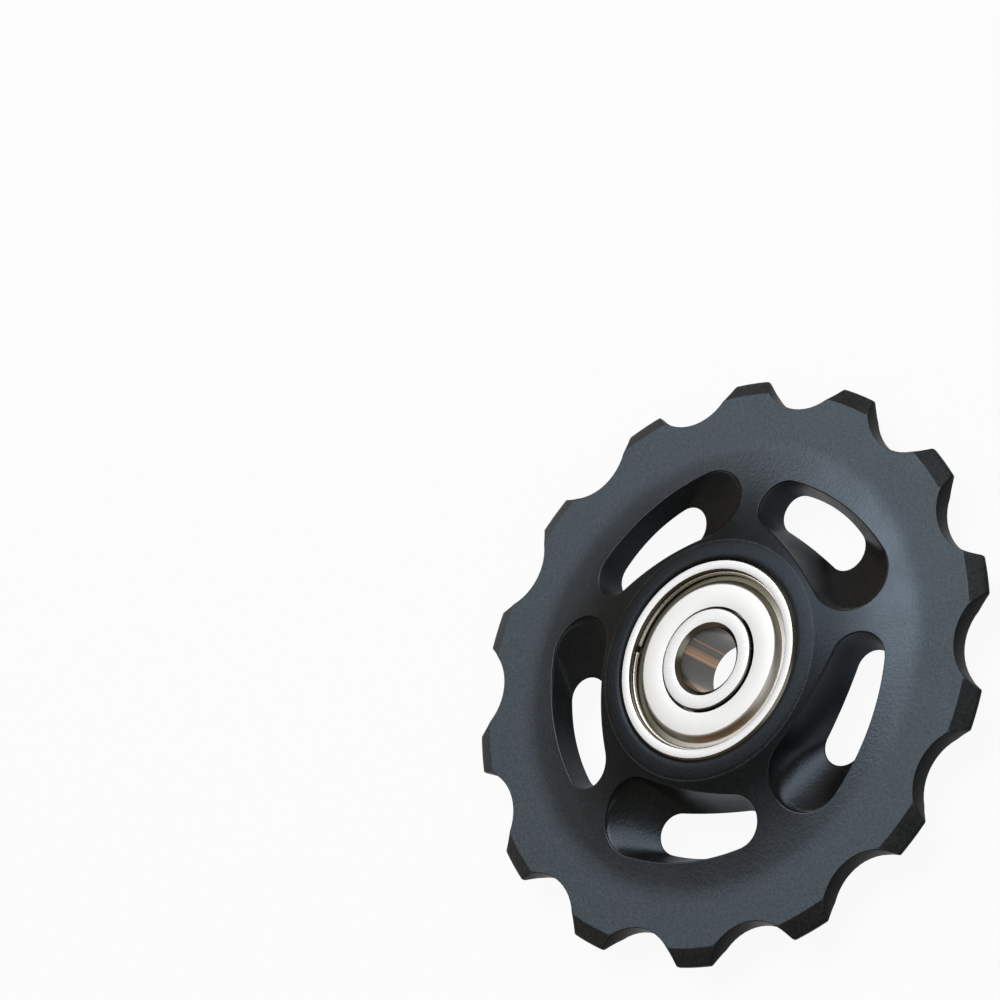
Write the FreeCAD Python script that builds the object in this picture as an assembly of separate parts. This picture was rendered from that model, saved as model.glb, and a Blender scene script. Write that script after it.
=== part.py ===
import FreeCAD, Part
import math
import os

from FreeCAD import Vector

# Bicycle derailleur jockey wheel, 14 teeth, on a shielded 6 x 19 x 6 ball bearing.
# Millimetres. Z is the axle, the origin is the middle of the wheel on its axle,
# the front face looks to +Z and a tooth points to +X.

# Toothed rim
TEETH = 14
CHAIN_PITCH = 12.7
ROOT_DEPTH = 3.96            # from the chain's pitch circle down to the tooth gap
TOOTH_HEIGHT = 2.903         # from the tooth gap up to the tip
TIP_WIDTH = 3.6
GAP_SEAT_RADIUS = 4.85       # the round floor of a tooth gap
RIM_THICKNESS = 1.86
TIP_THICKNESS = 0.4
BEVEL_LENGTH = 1.5           # bevel on both faces of a tooth, measured in from its tip

# Dished web and hub
HUB_WIDTH = 5.9              # at the bore, where the hub is widest
HUB_EDGE_RADIUS = 11.27
HUB_EDGE_DROP = 0.15         # each hub face falls this much from the bore to its edge
HUB_CROWN = 0.03             # bulge of that face over a straight slope
WEB_MIDDLE_RADIUS = 15.5
WEB_MIDDLE_THICKNESS = 3.48
WEB_OUTER_RADIUS = 20.5
RIM_STEP = 0.07              # what the blend below takes off each face
RIM_BLEND_RADIUS = 20.0

# Swept slots through the web
SLOTS = 5
SLOT_START_ANGLE = -91.1     # middle of the first slot
SLOT_CIRCLE_RADIUS = 15.5    # the centres of all round slot ends lie on it
MOUTH_WIDE_ANGLE = -18.1
MOUTH_WIDE_RADIUS = 3.52
MOUTH_NARROW_ANGLE = 23.2
MOUTH_NARROW_RADIUS = 2.38
MOUTH_OUTER_SWEEP = 21.5     # radius of the slot's long outer side
MOUTH_INNER_SWEEP = 30.0     # radius of the side along the hub
MOUTH_LEVEL = 1.15           # the mouth's walls are straight down to this height
THROAT_WIDE_ANGLE = -4.3
THROAT_WIDE_RADIUS = 1.95
THROAT_NARROW_ANGLE = 22.4
THROAT_NARROW_RADIUS = 1.85
THROAT_OUTER_SWEEP = 16.0
THROAT_INNER_SWEEP = 50.0
THROAT_WIDE_LEVEL = -0.55
THROAT_NARROW_LEVEL = -1.05
RELIEF_FLARE = 0.85          # the slot widens this much per length below its throat

# Ball bearing
BEARING_BORE = 6.0
BEARING_OUTER = 19.0
BEARING_WIDTH = 6.0
SEAT_CLEARANCE = 0.01        # between the bearing's outer ring and the hub's bore
BORE_CHAMFER = 0.42
OUTER_CHAMFER = 0.25
HUB_BORE_CHAMFER = 0.12
BALLS = 6
BALL_DIAMETER = 3.5
BALL_CLEARANCE = 0.03        # from a ball to the bottom of either race
RACE_CONFORMITY = 0.52       # race radius as a share of the ball's diameter
INNER_SHOULDER_RADIUS = 5.1
OUTER_SHOULDER_RADIUS = 7.4
INNER_FACE_RADIUS = 4.75     # inner ring where it passes the shield
INNER_FACE_CHAMFER = 0.1
INNER_FACE_DEPTH = 1.0
RECESS_RADIUS = 8.45         # outer ring where the shield drops in
RECESS_DEPTH = 1.05
WIRE_GROOVE_DEPTH = 0.05

# Shield and its snap wire
SHIELD_SHEET = 0.2
SHIELD_FACE_DROP = 0.25      # below the bearing's face
SHIELD_BORE_RADIUS = 4.93
SHIELD_PLATE_RADIUS = 7.15
SHIELD_SHOULDER_RUN = 0.45
SHIELD_EDGE_CLEARANCE = 0.03
SNAP_WIRE_DIAMETER = 0.42
SNAP_WIRE_CLEARANCE = 0.01
SNAP_WIRE_GAP_ANGLE = 103.2
SNAP_WIRE_GAP = 0.6

# Cage of two pressed halves held by rivets
CAGE_SHEET = 0.25
CAGE_WIDTH = 1.1
CAGE_POCKET_CLEARANCE = 0.08
RIVET_DIAMETER = 0.5
RIVET_HEAD_DIAMETER = 0.9
RIVET_HEAD_HEIGHT = 0.15

# Worked out from the sizes above
PITCH_RADIUS = CHAIN_PITCH / 2.0 / math.sin(math.pi / TEETH)
ROOT_RADIUS = PITCH_RADIUS - ROOT_DEPTH
TIP_RADIUS = ROOT_RADIUS + TOOTH_HEIGHT
HUB_BORE_RADIUS = BEARING_OUTER / 2.0 + SEAT_CLEARANCE
HUB_HALF = HUB_WIDTH / 2.0
RIM_HALF = RIM_THICKNESS / 2.0
RELIEF_DEPTH = HUB_HALF + THROAT_WIDE_LEVEL
RELIEF_GROWTH = RELIEF_DEPTH * RELIEF_FLARE
BEARING_HALF = BEARING_WIDTH / 2.0
BALL_RADIUS = BALL_DIAMETER / 2.0
BALL_CIRCLE_RADIUS = (BEARING_BORE + BEARING_OUTER) / 4.0
RACE_RADIUS = BALL_DIAMETER * RACE_CONFORMITY
POCKET_RADIUS = BALL_RADIUS + CAGE_POCKET_CLEARANCE
RECESS_FLOOR = BEARING_HALF - RECESS_DEPTH
AXIS = Vector(0, 0, 1)
ORIGIN = Vector(0, 0, 0)
SAME = 1e-6                  # two lengths this close are equal


def polar(radius, angle, height=0.0):
    """A point at a radius and an angle in degrees round the axle."""
    turn = math.radians(angle)
    return Vector(radius * math.cos(turn), radius * math.sin(turn), height)


def ring(inner, outer, low, high):
    """A plain tube about the axle."""
    tube = Part.makeCylinder(outer, high - low, Vector(0, 0, low))
    return tube.cut(Part.makeCylinder(inner, high - low, Vector(0, 0, low)))


def revolve(corners):
    """Turn a closed outline of (radius, height) corners round the axle."""
    points = [Vector(r, 0, z) for r, z in corners]
    face = Part.Face(Part.makePolygon(points + points[:1]))
    return face.revolve(ORIGIN, AXIS, 360)


def both_faces(shape):
    """The shape and its mirror image in the wheel's middle plane."""
    return [shape, shape.mirror(ORIGIN, AXIS)]


def around(shape, count):
    """Copies of a shape spread evenly round the axle."""
    copies = []
    for i in range(count):
        copy = shape.copy()
        copy.rotate(ORIGIN, AXIS, 360.0 / count * i)
        copies.append(copy)
    return copies


def disc_half_profile():
    """One face of the wheel from the axle out to the middle of a tooth tip."""
    blend_angle = math.acos(1.0 - RIM_STEP / RIM_BLEND_RADIUS)
    blend_run = RIM_BLEND_RADIUS * math.sin(blend_angle)
    blend_middle_run = blend_run - RIM_BLEND_RADIUS * math.sin(blend_angle / 2.0)
    blend_middle_rise = RIM_BLEND_RADIUS * (1.0 - math.cos(blend_angle / 2.0))
    bore_mouth = Vector(HUB_BORE_RADIUS + HUB_BORE_CHAMFER, 0, HUB_HALF)
    hub_edge = Vector(HUB_EDGE_RADIUS, 0, HUB_HALF - HUB_EDGE_DROP)
    hub_middle = (bore_mouth + hub_edge) * 0.5 + Vector(0, 0, HUB_CROWN)
    web_middle = Vector(WEB_MIDDLE_RADIUS, 0, WEB_MIDDLE_THICKNESS / 2.0)
    web_outer = Vector(WEB_OUTER_RADIUS, 0, RIM_HALF + RIM_STEP)
    blend_middle = Vector(WEB_OUTER_RADIUS + blend_middle_run, 0, RIM_HALF + blend_middle_rise)
    rim_start = Vector(WEB_OUTER_RADIUS + blend_run, 0, RIM_HALF)
    bevel_start = Vector(TIP_RADIUS - BEVEL_LENGTH, 0, RIM_HALF)
    tip_edge = Vector(TIP_RADIUS, 0, TIP_THICKNESS / 2.0)
    return [
        Part.LineSegment(Vector(0, 0, HUB_HALF), bore_mouth).toShape(),
        Part.Arc(bore_mouth, hub_middle, hub_edge).toShape(),
        Part.Arc(hub_edge, web_middle, web_outer).toShape(),
        Part.Arc(web_outer, blend_middle, rim_start).toShape(),
        Part.LineSegment(rim_start, bevel_start).toShape(),
        Part.LineSegment(bevel_start, tip_edge).toShape(),
        Part.LineSegment(tip_edge, Vector(TIP_RADIUS, 0, 0)).toShape(),
    ]


def wheel_blank():
    """The turned disc: hub, dished web and bevelled rim, with no teeth yet."""
    edges = disc_half_profile()
    edges.append(Part.LineSegment(Vector(TIP_RADIUS, 0, 0), ORIGIN).toShape())
    edges.append(Part.LineSegment(ORIGIN, Vector(0, 0, HUB_HALF)).toShape())
    half = Part.Face(Part.Wire(Part.__sortEdges__(edges))).revolve(ORIGIN, AXIS, 360)
    front, rear = both_faces(half)
    return front.fuse(rear).removeSplitter()


def tooth_gap():
    """The space between two teeth: a round seat and a straight flank to each tip."""
    centre = Vector(ROOT_RADIUS + GAP_SEAT_RADIUS, 0, 0)
    tip_half_angle = math.degrees(math.asin(TIP_WIDTH / 2.0 / TIP_RADIUS))
    tip = polar(TIP_RADIUS, 180.0 / TEETH - tip_half_angle)
    to_tip = tip - centre
    spread = math.acos(GAP_SEAT_RADIUS / to_tip.Length)
    angle = math.atan2(to_tip.y, to_tip.x) + spread
    seat_end = centre + Vector(math.cos(angle), math.sin(angle), 0) * GAP_SEAT_RADIUS
    outside = tip + (tip - seat_end).normalize() * TOOTH_HEIGHT
    mirror = [Vector(p.x, -p.y, 0) for p in (outside, seat_end)]
    edges = [
        Part.LineSegment(outside, seat_end).toShape(),
        Part.Arc(seat_end, Vector(ROOT_RADIUS, 0, 0), mirror[1]).toShape(),
        Part.LineSegment(mirror[1], mirror[0]).toShape(),
        Part.LineSegment(mirror[0], outside).toShape(),
    ]
    gap = Part.Face(Part.Wire(edges)).extrude(Vector(0, 0, HUB_WIDTH))
    gap.translate(Vector(0, 0, -HUB_HALF))
    gap.rotate(ORIGIN, AXIS, 180.0 / TEETH)
    return gap


def sweep_centre(first, first_reach, second, second_reach):
    """The point on the axle's side at the given distances from two points."""
    gap = second - first
    along = (gap.Length ** 2 + first_reach ** 2 - second_reach ** 2) / (2.0 * gap.Length)
    aside = math.sqrt(first_reach ** 2 - along ** 2)
    direction = Vector(gap).normalize()
    left = Vector(-direction.y, direction.x, 0)
    foot = first + direction * along
    options = [foot + left * aside, foot - left * aside]
    towards_axle = -(first + second)
    options.sort(key=lambda point: (point - first).dot(towards_axle))
    return options[1]


def on_circle(centre, radius, direction):
    """The point of a circle that lies in a direction from its centre."""
    return centre + Vector(direction).normalize() * radius


def arc_middle(centre, radius, begin, end, outward):
    """The middle of an arc from begin to end, on the side that outward points to."""
    chord = end - begin
    across = Vector(-chord.y, chord.x, 0)
    if across.dot(outward) < 0:
        across = -across
    return on_circle(centre, radius, across)


def slot_wire(ends, outer_sweep, inner_sweep):
    """Closed outline of a slot: two round ends joined by two long arcs.

    Each end is (angle, radius, height), first the wide clockwise one. The outline
    lies on the sloping plane that passes through both end heights.
    """
    (wide_angle, wide, wide_height), (narrow_angle, narrow, narrow_height) = ends
    start = polar(SLOT_CIRCLE_RADIUS, wide_angle)
    finish = polar(SLOT_CIRCLE_RADIUS, narrow_angle)
    along = finish - start
    slope = (narrow_height - wide_height) / along.Length
    run = Vector(along).normalize()
    hull = sweep_centre(start, outer_sweep - wide, finish, outer_sweep - narrow)
    waist = sweep_centre(start, inner_sweep + wide, finish, inner_sweep + narrow)
    outer_a = on_circle(start, wide, start - hull)
    outer_b = on_circle(finish, narrow, finish - hull)
    inner_a = on_circle(start, wide, waist - start)
    inner_b = on_circle(finish, narrow, waist - finish)

    def lifted(point):
        rise = wide_height + (point - start).dot(run) * slope
        return Vector(point.x, point.y, rise)

    def lifted_arc(centre, radius, begin, end, outward):
        middle = arc_middle(centre, radius, begin, end, outward)
        first = arc_middle(centre, radius, begin, middle, begin + middle - centre * 2.0)
        last = arc_middle(centre, radius, middle, end, middle + end - centre * 2.0)
        curve = Part.BSplineCurve()
        curve.interpolate([lifted(point) for point in (begin, first, middle, last, end)])
        return curve.toShape()

    return Part.Wire([
        lifted_arc(start, wide, outer_a, inner_a, -along),
        lifted_arc(waist, inner_sweep, inner_a, inner_b, start + finish - waist * 2.0),
        lifted_arc(finish, narrow, inner_b, outer_b, along),
        lifted_arc(hull, outer_sweep, outer_b, outer_a, start + finish - hull * 2.0),
    ])


def slot_cutter():
    """What one slot takes out: a mouth, a ramp to the throat and a relief behind."""
    mouth = [(MOUTH_WIDE_ANGLE, MOUTH_WIDE_RADIUS), (MOUTH_NARROW_ANGLE, MOUTH_NARROW_RADIUS)]
    throat = [(THROAT_WIDE_ANGLE, THROAT_WIDE_RADIUS, THROAT_WIDE_LEVEL),
              (THROAT_NARROW_ANGLE, THROAT_NARROW_RADIUS, THROAT_NARROW_LEVEL)]
    relief = [(angle, radius + RELIEF_GROWTH, level - RELIEF_DEPTH)
              for angle, radius, level in throat]
    mouth_top, mouth_low = [
        slot_wire([(angle, radius, height) for angle, radius in mouth],
                  MOUTH_OUTER_SWEEP, MOUTH_INNER_SWEEP)
        for height in (HUB_WIDTH, MOUTH_LEVEL)]
    throat_edge = slot_wire(throat, THROAT_OUTER_SWEEP, THROAT_INNER_SWEEP)
    relief_edge = slot_wire(relief, THROAT_OUTER_SWEEP + RELIEF_GROWTH,
                            THROAT_INNER_SWEEP - RELIEF_GROWTH)
    parts = [Part.makeLoft([mouth_top, mouth_low], True, True),
             Part.makeLoft([mouth_low, throat_edge], True, True),
             Part.makeLoft([throat_edge, relief_edge], True, True)]
    cutter = parts[0].fuse(parts[1:])
    cutter.rotate(ORIGIN, AXIS, SLOT_START_ANGLE)
    return cutter


def wheel_body():
    """The aluminium wheel: hub bored for the bearing, slots and teeth cut."""
    bore = Part.makeCylinder(HUB_BORE_RADIUS, HUB_WIDTH, Vector(0, 0, -HUB_HALF))
    mouth = Part.makeCone(HUB_BORE_RADIUS, HUB_BORE_RADIUS + HUB_BORE_CHAMFER, HUB_BORE_CHAMFER,
                          Vector(0, 0, HUB_HALF - HUB_BORE_CHAMFER))
    body = wheel_blank().cut([bore] + both_faces(mouth))
    body = body.cut(around(slot_cutter(), SLOTS))
    return body.cut(around(tooth_gap(), TEETH))


def race(circle):
    """The ring-shaped groove that the balls run in, its section centred on a circle."""
    return Part.makeTorus(circle, RACE_RADIUS)


def outer_ring():
    """Outer ring with its race, the two shield recesses and the wire grooves."""
    outer = BEARING_OUTER / 2.0
    body = ring(OUTER_SHOULDER_RADIUS, outer, -BEARING_HALF, BEARING_HALF)
    groove_bottom = BALL_CIRCLE_RADIUS + BALL_RADIUS + BALL_CLEARANCE
    recess = Part.makeCylinder(RECESS_RADIUS, RECESS_DEPTH, Vector(0, 0, RECESS_FLOOR))
    wire_groove = Part.makeCylinder(RECESS_RADIUS + WIRE_GROOVE_DEPTH, SNAP_WIRE_DIAMETER,
                                    Vector(0, 0, RECESS_FLOOR + SHIELD_SHEET))
    cuts = [race(groove_bottom - RACE_RADIUS)] + both_faces(recess) + both_faces(wire_groove)
    body = body.cut(cuts)
    return chamfer_circles(body, outer, BEARING_HALF, OUTER_CHAMFER)


def inner_ring():
    """Inner ring, stepped down at both faces to pass the shields."""
    bore = BEARING_BORE / 2.0
    body = ring(bore, INNER_SHOULDER_RADIUS, -BEARING_HALF, BEARING_HALF)
    groove_bottom = BALL_CIRCLE_RADIUS - BALL_RADIUS - BALL_CLEARANCE
    step = ring(INNER_FACE_RADIUS, BALL_CIRCLE_RADIUS, BEARING_HALF - INNER_FACE_DEPTH, BEARING_HALF)
    body = body.cut([race(groove_bottom + RACE_RADIUS)] + both_faces(step))
    body = chamfer_circles(body, bore, BEARING_HALF, BORE_CHAMFER)
    return chamfer_circles(body, INNER_FACE_RADIUS, BEARING_HALF, INNER_FACE_CHAMFER)


def chamfer_circles(body, radius, height, size):
    """Bevel the round edges of one radius at both ends of a ring."""
    edges = []
    for edge in body.Edges:
        curve = edge.Curve
        if isinstance(curve, Part.Circle) and abs(curve.Radius - radius) < SAME:
            if abs(abs(curve.Center.z) - height) < SAME:
                edges.append(edge)
    return body.makeChamfer(size, edges)


def shield():
    """Pressed front shield: flat plate, rolled shoulder and a rim on the recess floor."""
    top = BEARING_HALF - SHIELD_FACE_DROP
    low = RECESS_FLOOR
    shoulder = SHIELD_PLATE_RADIUS + SHIELD_SHOULDER_RUN
    rim = RECESS_RADIUS - SHIELD_EDGE_CLEARANCE
    body = revolve([
        (SHIELD_BORE_RADIUS, top),
        (SHIELD_PLATE_RADIUS, top),
        (shoulder, low + SHIELD_SHEET),
        (rim, low + SHIELD_SHEET),
        (rim, low),
        (shoulder - SHIELD_SHEET, low),
        (SHIELD_PLATE_RADIUS - SHIELD_SHEET, top - SHIELD_SHEET),
        (SHIELD_BORE_RADIUS, top - SHIELD_SHEET),
    ])
    crest = [edge for edge in body.Edges
             if isinstance(edge.Curve, Part.Circle)
             and abs(edge.Curve.Radius - SHIELD_PLATE_RADIUS) < SAME]
    return body.makeFillet(SHIELD_SHEET, crest)


def snap_wire():
    """Round wire ring that holds the front shield, open at its gap."""
    radius = SNAP_WIRE_DIAMETER / 2.0 - SNAP_WIRE_CLEARANCE
    height = RECESS_FLOOR + SHIELD_SHEET + SNAP_WIRE_DIAMETER / 2.0
    path = RECESS_RADIUS + WIRE_GROOVE_DEPTH - SNAP_WIRE_DIAMETER / 2.0
    section = Part.Face(Part.Wire(Part.makeCircle(radius, Vector(path, 0, height), Vector(0, 1, 0))))
    gap = math.degrees(SNAP_WIRE_GAP / path)
    wire = section.revolve(ORIGIN, AXIS, 360.0 - gap)
    wire.rotate(ORIGIN, AXIS, SNAP_WIRE_GAP_ANGLE + gap / 2.0)
    return wire


def ball():
    """One ball of the bearing, at its place on +X."""
    return Part.makeSphere(BALL_RADIUS, Vector(BALL_CIRCLE_RADIUS, 0, 0))


def cage_half():
    """Front half of the pressed cage: flat links and a domed pocket over each ball."""
    inner = BALL_CIRCLE_RADIUS - CAGE_WIDTH / 2.0
    outer = BALL_CIRCLE_RADIUS + CAGE_WIDTH / 2.0
    reach = POCKET_RADIUS + CAGE_SHEET
    band = ring(inner, outer, 0.0, CAGE_SHEET)
    band_wall = ring(inner, outer, 0.0, reach)
    centre = Vector(BALL_CIRCLE_RADIUS, 0, 0)
    domes = around(Part.makeSphere(reach, centre), BALLS)
    pockets = around(Part.makeSphere(POCKET_RADIUS, centre), BALLS)
    hole = Part.makeCylinder(RIVET_DIAMETER / 2.0, CAGE_SHEET, Vector(BALL_CIRCLE_RADIUS, 0, 0))
    hole.rotate(ORIGIN, AXIS, 180.0 / BALLS)
    covered = domes[0].multiFuse(domes[1:]).common(band_wall)
    return band.fuse(covered).cut(pockets + around(hole, BALLS)).removeSplitter()


def cage_rivet():
    """One rivet through both cage halves, between the first two balls."""
    centre = Vector(BALL_CIRCLE_RADIUS, 0, -CAGE_SHEET)
    shank = Part.makeCylinder(RIVET_DIAMETER / 2.0, CAGE_SHEET * 2.0, centre)
    head = Part.makeCylinder(RIVET_HEAD_DIAMETER / 2.0, RIVET_HEAD_HEIGHT,
                             Vector(BALL_CIRCLE_RADIUS, 0, CAGE_SHEET))
    rivet = shank.fuse(both_faces(head)).removeSplitter()
    rivet.rotate(ORIGIN, AXIS, 180.0 / BALLS)
    return rivet


def write(name, shape):
    """Check one sub-part and write its file."""
    solids = shape.Solids
    if len(solids) != 1 or not shape.isValid():
        raise ValueError("%s: %d solids, valid %s" % (name, len(solids), shape.isValid()))
    solids[0].exportStep(os.path.join("parts", name + ".step"))
    print("%-18s %10.3f mm3" % (name, solids[0].Volume))


def main():
    os.makedirs("parts", exist_ok=True)
    write("wheel_body", wheel_body())
    write("outer_ring", outer_ring())
    write("inner_ring", inner_ring())
    for name, maker in (("shield", shield), ("snap_wire", snap_wire), ("cage", cage_half)):
        front, rear = both_faces(maker())
        write(name + "_front", front)
        write(name + "_rear", rear)
    for number, copy in enumerate(around(ball(), BALLS), 1):
        write("ball_%d" % number, copy)
    for number, copy in enumerate(around(cage_rivet(), BALLS), 1):
        write("cage_rivet_%d" % number, copy)


main()
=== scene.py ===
import math

import bmesh
import bpy
import numpy as np
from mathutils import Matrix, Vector


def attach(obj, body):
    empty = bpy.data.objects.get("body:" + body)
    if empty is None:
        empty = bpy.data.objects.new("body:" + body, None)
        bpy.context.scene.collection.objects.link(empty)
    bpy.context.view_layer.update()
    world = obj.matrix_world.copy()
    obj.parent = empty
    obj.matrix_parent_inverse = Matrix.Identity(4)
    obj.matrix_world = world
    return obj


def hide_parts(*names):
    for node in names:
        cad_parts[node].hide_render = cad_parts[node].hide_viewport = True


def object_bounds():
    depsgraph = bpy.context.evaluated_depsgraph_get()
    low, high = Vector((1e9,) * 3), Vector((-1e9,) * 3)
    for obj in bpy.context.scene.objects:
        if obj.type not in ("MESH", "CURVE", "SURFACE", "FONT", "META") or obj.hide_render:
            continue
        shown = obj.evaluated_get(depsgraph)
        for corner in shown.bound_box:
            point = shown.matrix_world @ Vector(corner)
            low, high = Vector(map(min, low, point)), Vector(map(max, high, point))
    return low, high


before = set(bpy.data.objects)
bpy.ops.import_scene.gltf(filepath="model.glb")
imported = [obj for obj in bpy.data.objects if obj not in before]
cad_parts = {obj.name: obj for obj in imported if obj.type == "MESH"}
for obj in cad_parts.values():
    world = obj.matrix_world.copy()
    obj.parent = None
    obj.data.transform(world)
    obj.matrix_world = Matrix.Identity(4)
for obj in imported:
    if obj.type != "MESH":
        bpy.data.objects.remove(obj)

bl_info = {
    "name": "Derailleur jockey wheel",
    "version": (1, 0, 0),
    "blender": (4, 5, 0),
    "location": "3D View > Sidebar > Jockey Wheel",
    "description": "Fourteen-tooth anodised jockey wheel on a shielded ball bearing",
    "category": "Object",
}

CAD_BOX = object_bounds()
MM = 0.001
FULL_TURN = 2.0 * math.pi
SIDES = (("front", 1.0), ("rear", -1.0))

# Fineness of the meshes

SECTOR_ACROSS = 84
SECTOR_UP = 26
WALK_SAMPLES = 1600
LIP_STEPS = 4
HOLLOW_STEPS = 12
TIP_STEPS = 8
RIM_LIP_STEPS = 3
RACE_STEPS = 16
CORNER_STEPS = 4
BEND_STEPS = 7
RING_COLUMNS = 256
WIRE_STEPS = 220
WIRE_SIDES = 20
WHEEL_WELD = 0.004 * MM
BEARING_WELD = 0.002 * MM

# Where the rows of a slot lie, as shares of the way from one line to the next

FRONT_ROWS = (0.0, 0.12, 0.25, 0.38, 0.5, 0.62, 0.73, 0.83, 0.91, 0.97)
WALL_ROWS = (0.5, 1.0)
RAMP_ROWS = (0.2, 0.4, 0.6, 0.8, 0.95, 1.0)
RELIEF_ROWS = (0.05, 0.2, 0.4, 0.6, 0.8, 0.95, 1.0)
REAR_ROWS = (0.97, 0.85, 0.7, 0.5, 0.3, 0.15, 0.0)
BEVEL_ROWS = (0.35, 0.7, 1.0)

# Rows over the rim and the hub, by their distance from the web's end and the hub's edge

RIM_ROWS = np.array([0.0, 0.42, 0.84, 1.26, 1.67, 2.4, 3.2]) * MM
BEVEL_GUARD = 0.06 * MM
HUB_GUARD = 0.08 * MM
HUB_ROWS = np.array([1.0, 0.4, -0.4, -1.0, -5.0, -10.0, -15.0]) * HUB_GUARD

# The most that the trough's hollow takes of its wall and of its ramp

WALL_SHARE = 0.9
RAMP_SHARE = 0.7


def length(text, millimetres):
    """A length property, whose default is given here in millimetres."""
    return bpy.props.FloatProperty(
        name=text, description=text + ", in metres", default=millimetres * MM,
        min=0.0, unit="LENGTH", precision=5)


def angle(text, degrees):
    """An angle property, whose default is given here in degrees."""
    return bpy.props.FloatProperty(
        name=text, description=text + " round the axle", default=math.radians(degrees),
        subtype="ANGLE")


def count(text, number):
    """A property for a number of like forms."""
    return bpy.props.IntProperty(name=text, description=text, default=number, min=3)


def colour(text, red, green, blue):
    """A colour property, in the renderer's linear values."""
    return bpy.props.FloatVectorProperty(
        name=text, description=text, subtype="COLOR", size=3, min=0.0, max=1.0,
        default=(red, green, blue))


def share(text, value):
    """A property between nothing and one."""
    return bpy.props.FloatProperty(name=text, description=text, default=value, min=0.0, max=1.0)


def lamp_level(text, value):
    """A lamp's brightness: at 1, the lamp itself would look just white."""
    return bpy.props.FloatProperty(name=text, description=text, default=value, min=0.0)


class WheelSizes(bpy.types.PropertyGroup):
    """Sizes of the aluminium wheel."""

    teeth: count("Teeth", 14)
    root_radius: length("Tooth gap radius", 24.5767)
    tip_radius: length("Tip radius", 27.4797)
    tip_width: length("Tip width", 3.6)
    seat_radius: length("Round floor of a tooth gap", 4.85)
    corner_radius: length("Rounding of a tip corner", 0.12)
    rim_thickness: length("Rim thickness", 1.86)
    tip_thickness: length("Tip thickness", 0.4)
    bevel_length: length("Tip bevel length", 1.5)
    hub_width: length("Hub width", 5.9)
    hub_edge: length("Hub edge radius", 11.27)
    hub_drop: length("Fall of the hub's face to its edge", 0.15)
    hub_crown: length("Bulge of the hub's face", 0.03)
    bore_radius: length("Hub bore radius", 9.51)
    bore_chamfer: length("Hub bore chamfer", 0.12)
    chamfer_rounding: length("Rounding of the bore's chamfer", 0.025)
    web_middle: length("Web middle radius", 15.5)
    web_thickness: length("Web middle thickness", 3.48)
    web_outer: length("Web outer radius", 20.5)
    rim_step: length("Step from web to rim", 0.07)
    blend_radius: length("Web to rim blend", 20.0)
    edge_rounding: length("Rounding of the rim's edges", 0.07)
    slot_rounding: length("Rounding of a slot's mouth", 0.13)


class SlotSizes(bpy.types.PropertyGroup):
    """Sizes of the swept slots."""

    slots: count("Slots", 5)
    start: angle("First slot", -91.1)
    circle: length("Circle of the slot ends", 15.5)
    mouth_wide_angle: angle("Wide end of the mouth", -18.1)
    mouth_wide: length("Wide end radius of the mouth", 3.52)
    mouth_narrow_angle: angle("Narrow end of the mouth", 23.2)
    mouth_narrow: length("Narrow end radius of the mouth", 2.38)
    mouth_outer: length("Outer sweep of the mouth", 21.5)
    mouth_inner: length("Inner sweep of the mouth", 30.0)
    mouth_level: length("Height where the ramp starts", 1.15)
    throat_wide_angle: angle("Wide end of the throat", -4.3)
    throat_wide: length("Wide end radius of the throat", 1.95)
    throat_narrow_angle: angle("Narrow end of the throat", 22.4)
    throat_narrow: length("Narrow end radius of the throat", 1.85)
    throat_outer: length("Outer sweep of the throat", 16.0)
    throat_inner: length("Inner sweep of the throat", 50.0)
    throat_wide_drop: length("Throat below the middle at its wide end", 0.55)
    throat_narrow_drop: length("Throat below the middle at its narrow end", 1.05)
    trough_rise: length("Reach of the trough's hollow up its wall", 1.5)
    trough_run: length("Reach of the trough's hollow down its ramp", 2.6)
    relief_growth: length("Growth of the relief", 2.04)
    relief_depth: length("Depth of the relief", 2.4)


class BearingSizes(bpy.types.PropertyGroup):
    """Sizes of the shielded ball bearing."""

    bore: length("Bearing bore radius", 3.0)
    outer: length("Bearing outer radius", 9.5)
    half_width: length("Half the bearing width", 3.0)
    bore_chamfer: length("Bore chamfer", 0.42)
    outer_chamfer: length("Outer chamfer", 0.25)
    ball_circle: length("Ball circle radius", 6.25)
    ball_radius: length("Ball radius", 1.75)
    race_radius: length("Race radius", 1.82)
    ball_clearance: length("Ball clearance", 0.03)
    inner_shoulder: length("Inner shoulder radius", 5.1)
    outer_shoulder: length("Outer shoulder radius", 7.4)
    inner_face: length("Inner face radius", 4.75)
    inner_depth: length("Depth of the inner step", 1.0)
    inner_chamfer: length("Chamfer of the inner step", 0.1)
    ring_rounding: length("Rounding of the rings' edges", 0.03)
    recess: length("Recess radius", 8.45)
    recess_depth: length("Recess depth", 1.05)
    sheet: length("Shield sheet", 0.2)
    shield_drop: length("Shield below the face", 0.25)
    shield_bore: length("Shield bore radius", 4.93)
    shield_plate: length("Shield plate radius", 7.15)
    shield_run: length("Run of the shield's shoulder", 0.45)
    shield_gap: length("Shield edge clearance", 0.03)
    plate_bend: length("Outside bend of the shield's plate", 0.32)
    foot_bend: length("Outside bend of the shield's foot", 0.2)
    inside_bend: length("Inside bends of the shield", 0.12)
    front_edge: length("Rounding of the sheet's front edges", 0.06)
    back_edge: length("Rounding of the sheet's back edges", 0.04)
    wire: length("Snap wire radius", 0.2)
    wire_path: length("Snap wire path radius", 8.29)
    wire_height: length("Snap wire height", 2.36)
    wire_gap_angle: angle("Snap wire gap", 103.2)
    wire_gap: length("Snap wire gap width", 0.6)
    wire_end: length("Reach of a snap wire's rounded end", 0.05)


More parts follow.
